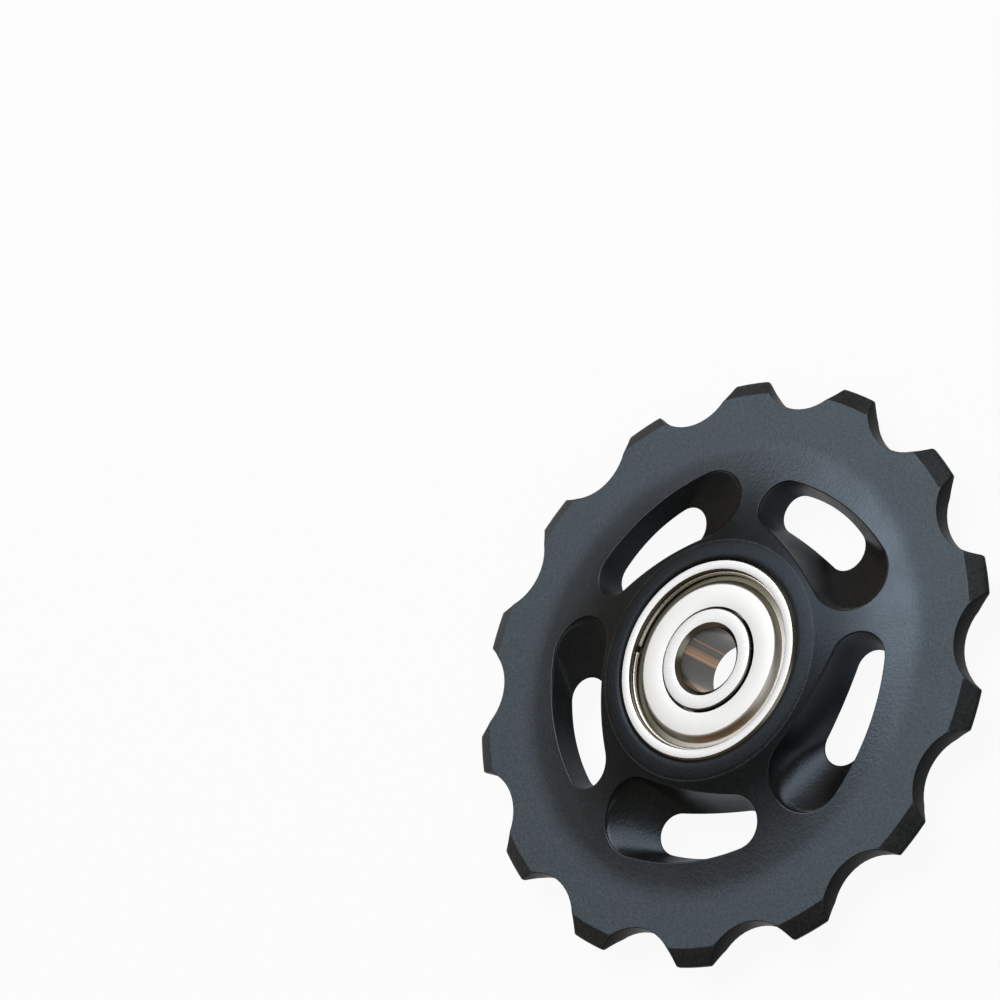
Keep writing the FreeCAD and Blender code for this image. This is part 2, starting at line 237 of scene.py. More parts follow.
class Finishes(bpy.types.PropertyGroup):
    """Colours, roughness and sheen of the surfaces."""

    rim_colour: colour("Blasted rim colour", 0.0335, 0.043, 0.053)
    web_colour: colour("Turned web colour", 0.012, 0.0125, 0.012)
    hub_colour: colour("Turned hub colour", 0.006, 0.0065, 0.007)
    # Partly the cut surfaces' deeper black, partly painted shade: walls of slots and tooth gaps are
    # darkened for the dark surroundings they reflect.
    cut_colour_and_shade: colour("Cut wall and ramp colour", 0.007, 0.007, 0.0065)
    bevel_colour: colour("Tooth bevel colour", 0.020, 0.021, 0.021)
    # Painted highlight: a lighter thin line along the hub's edge stands in for the light that edge
    # catches.
    hub_edge_highlight_colour: colour("Worn hub edge colour", 0.034, 0.035, 0.036)
    rim_roughness: share("Blasted rim roughness", 0.45)
    web_roughness: share("Turned web roughness", 0.31)
    cut_roughness: share("Cut ramp roughness", 0.26)
    wall_roughness: share("Cut wall roughness", 0.5)
    bevel_roughness: share("Bevel and tooth gap roughness", 0.44)
    sheen_colour: colour("Tint of the anodised sheen", 0.62, 0.80, 1.0)
    face_sheen: share("Sheen of the web and rim", 0.82)
    hub_sheen: share("Sheen of the hub", 0.3)
    cut_sheen: share("Sheen of the cut walls and ramps", 0.4)
    bevel_sheen: share("Sheen of the tooth bevels", 0.25)
    gap_sheen: share("Sheen of the tooth gaps", 0.08)
    steel_colour: colour("Ground steel colour", 0.59, 0.605, 0.625)
    # Painted shade: the rings' chamfers, steps and recess walls are darkened for the shade and dark
    # reflections in them.
    turned_and_shade_colour: colour("Turned steel colour", 0.21, 0.21, 0.18)
    # Painted reflections: the bore's dark tone and its brown and pale streaks stand in for what the bore
    # reflects.
    bore_dark_reflection_colour: colour("Honed bore colour", 0.10, 0.10, 0.095)
    bore_brown_reflection_colour: colour("Brown streaks in the bore", 0.36, 0.22, 0.14)
    bore_bright_reflection_colour: colour("Bright streaks in the bore", 0.62, 0.57, 0.50)
    # Painted shade: the shoulder and margin are darker than the plate for the shade of the recess they lie
    # in.
    shoulder_shade_colour: colour("Colour of the shield's bare shoulder", 0.60, 0.59, 0.55)
    margin_shade_colour: colour("Colour of the shield's bare margin", 0.55, 0.55, 0.52)
    # Painted reflections: one side of the shoulder and margin is darker, and another side of the shoulder
    # brown, for what they reflect.
    shoulder_dark_reflection_colour: colour("Colour of the shoulder under grease", 0.34, 0.33, 0.27)
    margin_dark_reflection_colour: colour("Colour of the margin under grease", 0.12, 0.12, 0.09)
    shoulder_warm_reflection_colour: colour("Brown stain on the shoulder", 0.46, 0.33, 0.22)
    dark_reflection_side: angle("Side of the shield where the grease lies", 70.0)
    warm_reflection_side: angle("Side of the shield where the stain lies", 222.0)
    shield_colour: colour("Shield colour", 0.70, 0.725, 0.735)
    # Partly the wire's own tone, partly painted shade: a little darker and warmer than the ring steel for
    # the recess it lies in.
    wire_colour_and_shade: colour("Snap wire colour", 0.55, 0.54, 0.50)
    cage_colour: colour("Cage colour", 0.62, 0.60, 0.55)
    ball_colour: colour("Ball colour", 0.88, 0.88, 0.89)
    floor_colour: colour("Floor colour", 0.92, 0.92, 0.92)
    floor_roughness: share("Floor roughness", 0.9)
    floor_white: share("Part of the floor that is seen as plain white", 0.93)


class StageSettings(bpy.types.PropertyGroup):
    """Camera, floor and lamps."""

    lens: bpy.props.FloatProperty(
        name="Lens", description="Focal length of the camera", default=139.32, unit="CAMERA")
    camera_place: bpy.props.FloatVectorProperty(
        name="Camera place", description="Where the camera stands", subtype="TRANSLATION",
        unit="LENGTH", default=(-4.961 * MM, -221.465 * MM, 269.494 * MM))
    camera_turn: bpy.props.FloatVectorProperty(
        name="Camera turn", description="How the camera is turned", subtype="EULER", unit="ROTATION",
        default=(math.radians(24.09869), math.radians(37.40398), math.radians(-55.90778)))
    floor_size: length("Floor size", 3000.0)
    floor_gap: length("Gap between the wheel and the floor", 0.02)
    lamp_distance: length("Distance of the softboxes", 700.0)
    key_level: lamp_level("Brightness of the key softbox", 3.9)
    back_level: lamp_level("Brightness of the back softbox", 1.3)
    front_level: lamp_level("Brightness of the softbox beside the camera", 0.8)
    right_level: lamp_level("Brightness of the right softbox", 3.8)
    room_back: colour("Room light behind the wheel", 0.25, 0.205, 0.165)
    room_front: colour("Room light behind the camera", 0.15, 0.12, 0.09)


# Shapes worked out as arrays


def polar(radius, turn):
    """Plan points at radius and turn: (radius cos turn, radius sin turn)."""
    return np.stack([radius * np.cos(turn), radius * np.sin(turn)], axis=-1)


def radii(points):
    """Distance of plan points from the axle."""
    return np.hypot(points[..., 0], points[..., 1])


def angles(points):
    """Angle of plan points round the axle."""
    return np.arctan2(points[..., 1], points[..., 0])


def raised(plan, height):
    """Plan points given a height: (x, y, height)."""
    heights = np.broadcast_to(height, plan.shape[:-1])
    return np.concatenate([plan, heights[..., None]], axis=-1)


def turned_about_axle(points, turn):
    """Points turned round the axle: (x cos turn - y sin turn, x sin turn + y cos turn)."""
    cosine = math.cos(turn)
    sine = math.sin(turn)
    out = points.copy()
    out[..., 0] = cosine * points[..., 0] - sine * points[..., 1]
    out[..., 1] = sine * points[..., 0] + cosine * points[..., 1]
    return out


def circle_through(first, middle, last):
    """Centre and radius of the circle through three points of a profile."""
    rows = 2.0 * np.array([middle - first, last - first])
    squares = np.array([middle @ middle - first @ first, last @ last - first @ first])
    centre = np.linalg.solve(rows, squares)
    return centre, float(np.linalg.norm(first - centre))


def face_height(radius, sizes):
    """Height of the wheel's face at a radius.

    The upper side of a wide circle over the hub, the lower side of a circle across
    the web, a third circle that blends it into the flat rim, and a straight bevel
    out to the tips.
    """
    rim = sizes.rim_thickness / 2.0
    top = sizes.hub_width / 2.0
    mouth = np.array([sizes.bore_radius + sizes.bore_chamfer, top])
    edge = np.array([sizes.hub_edge, top - sizes.hub_drop])
    crown = (mouth + edge) / 2.0 + np.array([0.0, sizes.hub_crown])
    hub_centre, hub_reach = circle_through(mouth, crown, edge)
    web_middle = np.array([sizes.web_middle, sizes.web_thickness / 2.0])
    web_end = np.array([sizes.web_outer, rim + sizes.rim_step])
    web_centre, web_reach = circle_through(edge, web_middle, web_end)
    blend_run = math.sqrt(2.0 * sizes.blend_radius * sizes.rim_step - sizes.rim_step ** 2)
    rim_start = sizes.web_outer + blend_run
    bevel_start = sizes.tip_radius - sizes.bevel_length
    bevel_slope = (rim - sizes.tip_thickness / 2.0) / sizes.bevel_length
    radius = np.asarray(radius, float)
    over_hub = np.sqrt(np.maximum(hub_reach ** 2 - (radius - hub_centre[0]) ** 2, 0.0))
    under_web = np.sqrt(np.maximum(web_reach ** 2 - (radius - web_centre[0]) ** 2, 0.0))
    run = np.clip(rim_start - radius, 0.0, blend_run)
    blend = rim + sizes.blend_radius - np.sqrt(sizes.blend_radius ** 2 - run ** 2)
    bevel = rim - (radius - bevel_start) * bevel_slope
    stretches = [radius <= end for end in (sizes.hub_edge, sizes.web_outer, rim_start, bevel_start)]
    heights = [hub_centre[1] + over_hub, web_centre[1] - under_web, blend, np.full(radius.shape, rim)]
    return np.select(stretches, heights, bevel)


def tooth_outline(sizes, flank_steps):
    """One closed plan outline of all teeth, from the middle of a gap round the wheel.

    Each half gap is a circle about a centre outside the wheel, then its straight
    tangent to the tip's corner; the tip is an arc about the axle. The one point on
    a corner's rounding lies where a circle passes a square corner.
    """
    corner_pull = 0.29
    centre = np.array([sizes.root_radius + sizes.seat_radius, 0.0])
    half_pitch = math.pi / sizes.teeth
    tip_half = math.asin(sizes.tip_width / 2.0 / sizes.tip_radius)
    corner = polar(sizes.tip_radius, half_pitch - tip_half)
    to_corner = corner - centre
    reach = np.linalg.norm(to_corner)
    spread = math.acos(sizes.seat_radius / reach)
    seat_turn = math.atan2(to_corner[1], to_corner[0]) + spread
    flank = math.sqrt(reach ** 2 - sizes.seat_radius ** 2)
    seat_length = (math.pi - seat_turn) * sizes.seat_radius
    cut = sizes.corner_radius
    walk = np.linspace(0.0, seat_length + flank - cut, flank_steps)
    turn = math.pi - np.minimum(walk, seat_length) / sizes.seat_radius
    seat = centre + polar(sizes.seat_radius, turn)
    seat_end = centre + polar(sizes.seat_radius, seat_turn)
    along = (corner - seat_end) / flank
    straight = seat_end + np.maximum(walk - seat_length, 0.0)[:, None] * along
    half_gap = np.where((walk <= seat_length)[:, None], seat, straight)
    tip_turn = np.linspace(-tip_half + cut / sizes.tip_radius, 0.0, TIP_STEPS // 2 + 1)
    half_tip = polar(sizes.tip_radius, half_pitch + tip_turn)
    rounding = corner + (half_gap[-1] + half_tip[0] - 2.0 * corner) * corner_pull
    first = np.concatenate([half_gap, rounding[None], half_tip])
    mirror = turned_about_axle(first[:0:-1] * np.array([1.0, -1.0]), 2.0 * half_pitch)
    tooth = np.concatenate([first, mirror[1:]])
    turns = 2.0 * half_pitch * np.arange(sizes.teeth)
    return np.concatenate([turned_about_axle(tooth, turn) for turn in turns])


def shifted_aside(loop, distance):
    """A closed plan outline moved to the left of its direction of travel."""
    travel = np.roll(loop, -1, axis=-2) - np.roll(loop, 1, axis=-2)
    travel = travel / np.linalg.norm(travel, axis=-1, keepdims=True)
    left = np.stack([-travel[..., 1], travel[..., 0]], axis=-1)
    return loop + left * distance


def reach_point(first, first_reach, second, second_reach):
    """The point nearer the axle at given distances from two points, by the law of cosines."""
    gap = second - first
    span = np.linalg.norm(gap)
    along = (span ** 2 + first_reach ** 2 - second_reach ** 2) / (2.0 * span)
    aside = math.sqrt(first_reach ** 2 - along ** 2)
    way = gap / span
    left = np.array([-way[1], way[0]])
    foot = first + way * along
    options = [foot + left * aside, foot - left * aside]
    return min(options, key=lambda point: float((point - first) @ (first + second)))


def slot_outline(walk, ends, circle, sweeps, levels):
    """Points of a slot's outline for a walk from 0 to 4, laid on its sloping plane.

    The four quarters of the walk are the wide round end, the arc along the hub,
    the narrow round end and the long outer arc; each arc joins the ends smoothly.
    """
    (wide_turn, wide), (narrow_turn, narrow) = ends
    outer_sweep, inner_sweep = sweeps
    start = polar(circle, wide_turn)
    finish = polar(circle, narrow_turn)
    hull = reach_point(start, outer_sweep - wide, finish, outer_sweep - narrow)
    waist = reach_point(start, inner_sweep + wide, finish, inner_sweep + narrow)

    def bearing(tail, head):
        return math.atan2(head[1] - tail[1], head[0] - tail[0])

    outer_start = bearing(hull, start)
    outer_finish = bearing(hull, finish)
    inner_start = bearing(waist, start)
    inner_finish = bearing(waist, finish)
    centres = np.array([start, waist, finish, hull])
    reach = np.array([wide, inner_sweep, narrow, outer_sweep])
    begin = np.array([outer_start, inner_start, inner_finish + math.pi, outer_finish])
    sweep = np.array([
        -((outer_start - inner_start - math.pi) % FULL_TURN),
        (inner_finish - inner_start) % FULL_TURN,
        -((inner_finish + math.pi - outer_finish) % FULL_TURN),
        -((outer_finish - outer_start) % FULL_TURN)])
    piece = np.clip(np.floor(walk).astype(int), 0, 3)
    turn = begin[piece] + (walk - piece) * sweep[piece]
    plan = centres[piece] + polar(reach[piece], turn)
    way = finish - start
    share_along = (plan - start) @ way / (way @ way)
    return raised(plan, levels[0] + share_along * (levels[1] - levels[0]))


def sector_border(slots, inner, outer):
    """Turns and radii round one slot's share of the web, clockwise from its outer left corner."""
    half = math.pi / slots
    wide = np.linspace(half, -half, SECTOR_ACROSS, endpoint=False)
    tall = np.linspace(outer, inner, SECTOR_UP, endpoint=False)
    outward = inner + outer - tall
    turn = np.concatenate([wide, np.full(SECTOR_UP, -half), -wide, np.full(SECTOR_UP, half)])
    radius = np.concatenate([np.full(SECTOR_ACROSS, outer), tall, np.full(SECTOR_ACROSS, inner), outward])
    return turn, radius


def walk_facing(border_turn, border_radius, mouth, circle):
    """Where rays from the slot's middle to the border cross the mouth, as a walk from 0 to 4.

    The ray's direction is worked out in the plan unrolled along the slot's circle, and
    the walk is read off between samples of the mouth.
    """
    walk = np.linspace(0.0, 4.0, WALK_SAMPLES + 1)[:-1]
    plan = mouth(walk)[:, :2]
    turn = angles(plan)
    middle = (turn.max() + turn.min()) / 2.0

    def ray(turns, radius):
        return np.arctan2(radius - circle, circle * (turns - middle))

    seen = np.unwrap(ray(turn, radii(plan)))
    wanted = (ray(border_turn, border_radius) - seen[0]) % FULL_TURN + seen[0]
    seen = np.concatenate([seen - FULL_TURN, seen, seen + FULL_TURN])
    walks = np.concatenate([walk - 4.0, walk, walk + 4.0])
    return np.interp(wanted, seen, walks) % 4.0


def between(first, last, shares):
    """Rows between two loops at the given shares: first + (last - first) share."""
    shares = np.asarray(shares)[:, None, None]
    return first + (last - first) * shares


def rear_meeting(top, low, sizes):
    """Where lines from the throat past the relief pass through the rear face.

    Each line is followed three times as far as the relief, and the stretch of it
    that holds the face is halved forty times.
    """
    near = np.zeros(len(top))
    far = np.full(len(top), 3.0)
    for _ in range(40):
        half = (near + far) / 2.0
        point = top + (low - top) * half[:, None]
        inside = point[:, 2] > -face_height(radii(point), sizes)
        near = np.where(inside, half, near)
        far = np.where(inside, far, half)
    return top + (low - top) * near[:, None]


def quarter_round(steps):
    """How far aside and down the rows of a rounded edge lie, as shares of its rounding.

    The shares are 1 - sin turn and 1 - cos turn, over a quarter turn.
    """
    quarter = np.linspace(0.0, math.pi / 2.0, steps + 1)
    return 1.0 - np.sin(quarter), 1.0 - np.cos(quarter)


def slot_rows(sizes, slot):
    """Rows of points down one slot, from the front web round its walls to the rear web.

    A row is a closed loop of columns; the rows run from the border of the slot's
    share of the web in to the mouth, over a rounded lip, down the straight wall,
    round the trough's hollow, down the ramp to the throat, out along the relief
    and back to the rear border. The hollow between wall and ramp is the curve
    (1 - t)^2 top + 2 t (1 - t) corner + t^2 low, which touches both of them.
    """
    turn, radius = sector_border(slot.slots, sizes.hub_edge + HUB_GUARD, sizes.web_outer)
    border = np.stack([turn, radius], axis=-1)
    mouth_ends = ((slot.mouth_wide_angle, slot.mouth_wide),
                  (slot.mouth_narrow_angle, slot.mouth_narrow))
    throat_ends = ((slot.throat_wide_angle, slot.throat_wide),
                   (slot.throat_narrow_angle, slot.throat_narrow))
    growth = slot.relief_growth
    relief_ends = [(end_turn, reach + growth) for end_turn, reach in throat_ends]
    relief_sweeps = (slot.throat_outer + growth, slot.throat_inner - growth)
    throat_levels = (-slot.throat_wide_drop, -slot.throat_narrow_drop)
    relief_levels = [height - slot.relief_depth for height in throat_levels]

    def mouth_at(walk):
        return slot_outline(walk, mouth_ends, slot.circle, (slot.mouth_outer, slot.mouth_inner),
                            (slot.mouth_level, slot.mouth_level))

    def web_rows(loop, shares, side):
        edge = np.stack([angles(loop), radii(loop)], axis=-1)
        rows = between(border, edge, shares)
        height = side * face_height(rows[..., 1], sizes)
        return raised(polar(rows[..., 1], rows[..., 0]), height)

    walk = walk_facing(turn, radius, mouth_at, slot.circle)
    mouth = mouth_at(walk)
    throat = slot_outline(walk, throat_ends, slot.circle, (slot.throat_outer, slot.throat_inner),
                          throat_levels)
    relief = slot_outline(walk, relief_ends, slot.circle, relief_sweeps, relief_levels)
    leave = rear_meeting(throat, relief, sizes)
    lip = sizes.slot_rounding
    beside, below = quarter_round(LIP_STEPS)
    aside = np.stack([shifted_aside(mouth[:, :2], lip * part) for part in beside])
    rounded = raised(aside, face_height(radii(aside), sizes) - lip * below[:, None])
    foot = rounded[-1]
    climb = np.minimum(WALL_SHARE * (foot[:, 2] - mouth[:, 2]), slot.trough_rise)
    top = mouth + climb[:, None] * np.array([0.0, 0.0, 1.0])
    slope = throat - mouth
    run = np.minimum(slot.trough_run / np.linalg.norm(slope, axis=1), RAMP_SHARE)
    low = mouth + slope * run[:, None]
    part = np.linspace(0.0, 1.0, HOLLOW_STEPS + 1)[1:, None, None]
    hollow = (1.0 - part) ** 2 * top + 2.0 * part * (1.0 - part) * mouth + part ** 2 * low
    return np.concatenate([
        web_rows(rounded[0], FRONT_ROWS, 1.0),
        rounded,
        between(foot, top, WALL_ROWS),
        hollow,
        between(low, throat, RAMP_ROWS),
        between(throat, leave, RELIEF_ROWS),
        web_rows(leave, REAR_ROWS, -1.0)])


def rim_rows(sizes, first_turn, columns):
    """Rows of points over the toothed rim, front, edge and rear.

    Each column starts on a plain circle at the web's end and runs out to its own
    point of the tooth outline, and its turn goes from one to the other in step with
    its radius. Rows keep close to the line where the bevel starts.
    """
    flank_steps = (columns // sizes.teeth - TIP_STEPS - 2) // 2
    half_pitch = math.pi / sizes.teeth
    outline = turned_about_axle(tooth_outline(sizes, flank_steps), half_pitch)
    step = FULL_TURN / columns
    shift = int(round((first_turn - half_pitch) / step))
    outline = np.roll(outline, -shift, axis=0)
    start = first_turn + step * np.arange(columns)
    inset = shifted_aside(outline, sizes.edge_rounding)
    edge = radii(inset)
    edge_turn = start + (angles(inset) - start + math.pi) % FULL_TURN - math.pi
    inner = sizes.web_outer
    crease = np.minimum(sizes.tip_radius - sizes.bevel_length, edge - 2.0 * BEVEL_GUARD)
    rest = crease + BEVEL_GUARD
    rows = [np.full(columns, inner + run) for run in RIM_ROWS]
    rows += [crease - BEVEL_GUARD, crease, rest]
    rows += [rest + (edge - rest) * part for part in BEVEL_ROWS]
    rows = np.stack(rows)
    turns = start + (edge_turn - start) * (rows - inner) / (edge - inner)
    front = raised(polar(rows, turns), face_height(rows, sizes))
    beside, below = quarter_round(RIM_LIP_STEPS)
    aside = np.stack([shifted_aside(outline, sizes.edge_rounding * part) for part in beside[1:]])
    crown = np.minimum(face_height(radii(aside), sizes), front[-1, :, 2])
    lip = raised(aside, crown - sizes.edge_rounding * below[1:, None])
    half = np.concatenate([front, lip])
    return np.concatenate([half, half[::-1] * np.array([1.0, 1.0, -1.0])])


def hub_rows(sizes, first_turn, columns):
    """Rows of points over the hub, from the front web in, through the bore, to the rear web.

    Each row is a circle about the axle through one point (radius, height) of the
    hub's profile. The two rows nearest the hub's edge lie a hair lower, so that the
    edge is rounded.
    """
    turn = first_turn + FULL_TURN / columns * np.arange(columns)
    top = sizes.hub_width / 2.0
    seat = sizes.bore_radius
    cut = sizes.bore_chamfer
    small = sizes.chamfer_rounding
    eased = 0.3 * small
    belt = 0.4 * top
    faces = np.append(sizes.hub_edge + HUB_ROWS, seat + cut + small)
    heights = face_height(faces, sizes)
    heights[1:3] -= eased
    bore = np.array([
        (seat + cut - small, top - small),
        (seat + small, top - cut + small),
        (seat, top - cut - small),
        (seat, belt),
        (seat, 0.0)])
    profile = np.concatenate([np.stack([faces, heights], axis=-1), bore])
    profile = np.concatenate([profile, profile[-2::-1] * np.array([1.0, -1.0])])
    plan = polar(profile[:, 0][:, None], turn[None, :])
    return raised(plan, profile[:, 1][:, None])


def rounded_profile(corners, steps):
    """A closed profile whose corners (radius, height, rounding) become arcs.

    Each corner is left at the distance rounding / tan(half angle) on both sides,
    and the arc between is a circle of that rounding that touches both sides.
    """
    tiny = 1e-12
    table = np.array(corners)
    points = table[:, :2]
    rounding = table[:, 2]
    before = np.roll(points, 1, axis=0) - points
    after = np.roll(points, -1, axis=0) - points
    before = before / np.linalg.norm(before, axis=1, keepdims=True)
    after = after / np.linalg.norm(after, axis=1, keepdims=True)
    half = np.arccos(np.clip(np.sum(before * after, axis=1), -1.0, 1.0)) / 2.0
    back_off = rounding / np.tan(half)
    middle = before + after
    middle = middle / np.maximum(np.linalg.norm(middle, axis=1, keepdims=True), tiny)
    centre = points + middle * (rounding / np.sin(half))[:, None]
    begin = points + before * back_off[:, None] - centre
    end = points + after * back_off[:, None] - centre
    share_row = np.linspace(0.0, 1.0, steps)[None, :, None]
    chord = begin[:, None] + (end - begin)[:, None] * share_row
    size = np.linalg.norm(chord, axis=2, keepdims=True)
    arc = chord / np.maximum(size, tiny) * rounding[:, None, None]
    return (centre[:, None] + arc).reshape(-1, 2)


def race_arc(centre, reach, shoulder, side):
    """A race's profile between its shoulders: (centre + side reach cos turn, reach sin turn)."""
    swing = math.asin(math.sqrt(reach ** 2 - (shoulder - centre) ** 2) / reach)
    turn = np.linspace(-1.0, 1.0, RACE_STEPS + 1) * swing
    return np.stack([centre + side * reach * np.cos(turn), reach * np.sin(turn)], axis=-1)


def mirrored_profile(corners):
    """The rounded upper half of a ring's profile, then its mirror image in the middle plane.

    The last corner lies in the middle plane, and only gives the direction there.
    """
    half = rounded_profile(corners, CORNER_STEPS)[:-CORNER_STEPS]
    return np.concatenate([half, half[::-1] * np.array([1.0, -1.0])])


def outer_ring_profile(size):
    """The outer ring's race, and its recess, face and chamfer on both sides."""
    half = size.half_width
    floor = half - size.recess_depth
    soft = size.ring_rounding
    race = size.ball_circle + size.ball_radius + size.ball_clearance - size.race_radius
    return np.concatenate([
        race_arc(race, size.race_radius, size.outer_shoulder, 1.0),
        mirrored_profile([
            (size.outer_shoulder, floor, soft),
            (size.recess, floor, soft),
            (size.recess, half, soft),
            (size.outer - size.outer_chamfer, half, soft * 2.0),
            (size.outer, half - size.outer_chamfer, soft * 2.0),
            (size.outer, 0.0, 0.0)])])


def inner_ring_profile(size):
    """The inner ring's race, and its step, face and chamfer on both sides."""
    half = size.half_width
    step = half - size.inner_depth
    cut = size.inner_chamfer
    soft = size.ring_rounding
    race = size.ball_circle - size.ball_radius - size.ball_clearance + size.race_radius
    return np.concatenate([
        race_arc(race, size.race_radius, size.inner_shoulder, -1.0),
        mirrored_profile([
            (size.inner_shoulder, step, soft),
            (size.inner_face, step, soft),
            (size.inner_face, half - cut, soft),
            (size.inner_face - cut, half, soft),
            (size.bore + size.bore_chamfer, half, soft * 2.0),
            (size.bore, half - size.bore_chamfer, soft * 2.0),
            (size.bore, 0.0, 0.0)])])


def shield_profile(size):
    """The front shield's profile: plate, shoulder and margin, one sheet thick."""
    top = size.half_width - size.shield_drop
    low = size.half_width - size.recess_depth
    shoulder = size.shield_plate + size.shield_run
    rim = size.recess - size.shield_gap
    sheet = size.sheet
    return rounded_profile([
        (size.shield_bore, top, size.front_edge),
        (size.shield_plate, top, size.plate_bend),
        (shoulder, low + sheet, size.inside_bend),
        (rim, low + sheet, size.front_edge),
        (rim, low, size.back_edge),
        (shoulder - sheet, low, size.foot_bend),
        (size.shield_plate - sheet, top - sheet, size.inside_bend),
        (size.shield_bore, top - sheet, size.back_edge)], BEND_STEPS)


def turned_ring(profile, side=1.0):
    """Rows of points from a closed profile of (radius, height) turned about the axle."""
    turn = FULL_TURN / RING_COLUMNS * np.arange(RING_COLUMNS)
    closed = np.concatenate([profile, profile[:1]])
    return raised(polar(closed[:, 0][:, None], turn[None, :]), side * closed[:, 1][:, None])


def snap_wire_rows(size, side):
    """Rows of points along an open wire ring, whose ends are drawn in to a point.

    A row is a circle across the wire, (path + wire cos turn, height + wire sin turn),
    made smaller near an end.
    """
    end_size = np.array([0.0, 0.6, 0.9, 1.0])
    end_reach = np.array([1.0, 0.8, 0.45, 0.0]) * size.wire_end / size.wire_path
    half_gap = size.wire_gap / size.wire_path / 2.0
    run = np.linspace(half_gap, FULL_TURN - half_gap, WIRE_STEPS + 1) + size.wire_gap_angle
    shrink = np.concatenate([end_size, np.ones(len(run) - 2), end_size[::-1]])
    run = np.concatenate([run[0] - end_reach, run[1:-1], run[-1] + end_reach[::-1]])
    across = FULL_TURN / WIRE_SIDES * np.arange(WIRE_SIDES)
    wire = size.wire * shrink[:, None]
    plan = polar(size.wire_path + wire * np.cos(across), run[:, None])
    return raised(plan, side * (size.wire_height + wire * np.sin(across)))


def grid_faces(rows, columns, first):
    """Corner numbers of the four-sided faces of a grid closed along its rows."""
    number = first + np.arange(rows * columns).reshape(rows, columns)
    right = np.roll(number, -1, axis=1)
    return np.stack([number[:-1], right[:-1], right[1:], number[1:]], axis=-1).reshape(-1, 4)


def surface_mesh(name, grids, weld):
    """A closed mesh from grids of points: doubles merged, faces pointing outwards."""
    points = []
    faces = []
    first = 0
    for grid in grids:
        rows, columns = grid.shape[:2]
        points.append(grid.reshape(-1, 3))
        faces.append(grid_faces(rows, columns, first))
        first += rows * columns
    mesh = bpy.data.meshes.new(name)
    mesh.from_pydata(np.concatenate(points).tolist(), [], np.concatenate(faces).tolist())
    work = bmesh.new()
    work.from_mesh(mesh)
    bmesh.ops.remove_doubles(work, verts=work.verts, dist=weld)
    bmesh.ops.dissolve_degenerate(work, edges=work.edges, dist=weld * 0.5)
    bmesh.ops.recalc_face_normals(work, faces=work.faces)
    if work.calc_volume(signed=True) < 0.0:
        bmesh.ops.reverse_faces(work, faces=work.faces)
    work.to_mesh(mesh)
    work.free()
    mesh.shade_smooth()
    return mesh


def add_piece(mesh, body, node, material):
    """Puts a mesh in the scene under its own name, in place of a solid."""
    piece = bpy.data.objects.new(mesh.name, mesh)
    bpy.context.scene.collection.objects.link(piece)
    mesh.materials.append(material)
    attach(piece, body)
    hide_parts(node)


# Finishes


def new_material(name):
    """A new material, its node tree and its shader."""
    material = bpy.data.materials.new(name)
    material.use_nodes = True
    tree = material.node_tree
    return material, tree, tree.nodes["Principled BSDF"]


def set_inputs(tree, node, inputs):
    """Sets a node's inputs: a socket is linked, a number or vector written, a colour made opaque."""
    for key, value in inputs.items():
        socket = node.inputs[key]
        if isinstance(value, bpy.types.NodeSocket):
            tree.links.new(value, socket)
        elif socket.type == "RGBA":
            socket.default_value = (*value, 1.0)
        else:
            socket.default_value = value


def add_node(tree, kind, inputs, **settings):
    """A node of a kind, with its settings and its inputs."""
    node = tree.nodes.new(kind)
    for key, value in settings.items():
        setattr(node, key, value)
    set_inputs(tree, node, inputs)
    return node


def math_node(tree, operation, *values):
    """What an operation makes of its values, numbers or sockets."""
    return add_node(tree, "ShaderNodeMath", dict(enumerate(values)), operation=operation).outputs[0]


def vector_node(tree, operation, inputs):
    """A node that works on vectors."""
    return add_node(tree, "ShaderNodeVectorMath", inputs, operation=operation)


def noise_node(tree, inputs, **settings):
    """Random spots or stripes that run softly between 0 and 1."""
    return add_node(tree, "ShaderNodeTexNoise", inputs, **settings).outputs["Fac"]


def ramp_node(tree, source, limits, ends=(0.0, 1.0), curve="SMOOTHSTEP"):
    """A value that goes from its first end to its last while the source goes through its limits."""
    inputs = {"Value": source, "From Min": limits[0], "From Max": limits[1],
              "To Min": ends[0], "To Max": ends[1]}
    return add_node(tree, "ShaderNodeMapRange", inputs, interpolation_type=curve).outputs["Result"]


def mix_node(tree, amount, first, second):
    """A value that goes from first to second by an amount."""
    return add_node(tree, "ShaderNodeMix", {"Factor": amount, "A": first, "B": second}).outputs["Result"]


def blend_node(tree, amount, first, second):
    """A colour that goes from first to second by an amount."""
    return add_node(tree, "ShaderNodeMix", {0: amount, 6: first, 7: second}, data_type="RGBA").outputs[2]


def bump_node(tree, height, strength, distance):
    """Normals of a surface raised by a height from 0 to 1, times the distance."""
    inputs = {"Height": height, "Strength": strength, "Distance": distance}
    return add_node(tree, "ShaderNodeBump", inputs).outputs["Normal"]


def upright_node(tree, source):
    """The size of a vector's part along the axle."""
    parts = add_node(tree, "ShaderNodeSeparateXYZ", {0: source})
    return math_node(tree, "ABSOLUTE", parts.outputs["Z"])


def plan_node(tree, place):
    """The vector from the axle straight out to a surface point."""
    return vector_node(tree, "MULTIPLY", {0: place.outputs["Object"], 1: (1.0, 1.0, 0.0)}).outputs[0]


def reach_node(tree, place):
    """The distance of a surface point from the axle."""
    return vector_node(tree, "LENGTH", {0: plan_node(tree, place)}).outputs["Value"]


def around_node(tree, place):
    """The direction of a surface point from the axle, as a vector of length one."""
    return vector_node(tree, "NORMALIZE", {0: plan_node(tree, place)}).outputs[0]


def side_node(tree, around, side, limits):
    """A value that rises from 0 to 1 towards one side, as the cosine of the angle from it does."""
    toward = vector_node(tree, "DOT_PRODUCT", {0: around, 1: (math.cos(side), math.sin(side), 0.0)})
    return ramp_node(tree, toward.outputs["Value"], limits)


def step_node(tree, reach, radius, start, finish, ends=(0.0, 1.0)):
    """A value that steps up near a radius: start and finish are millimetres outwards from it."""
    return ramp_node(tree, reach, (radius + start * MM, radius + finish * MM), ends)


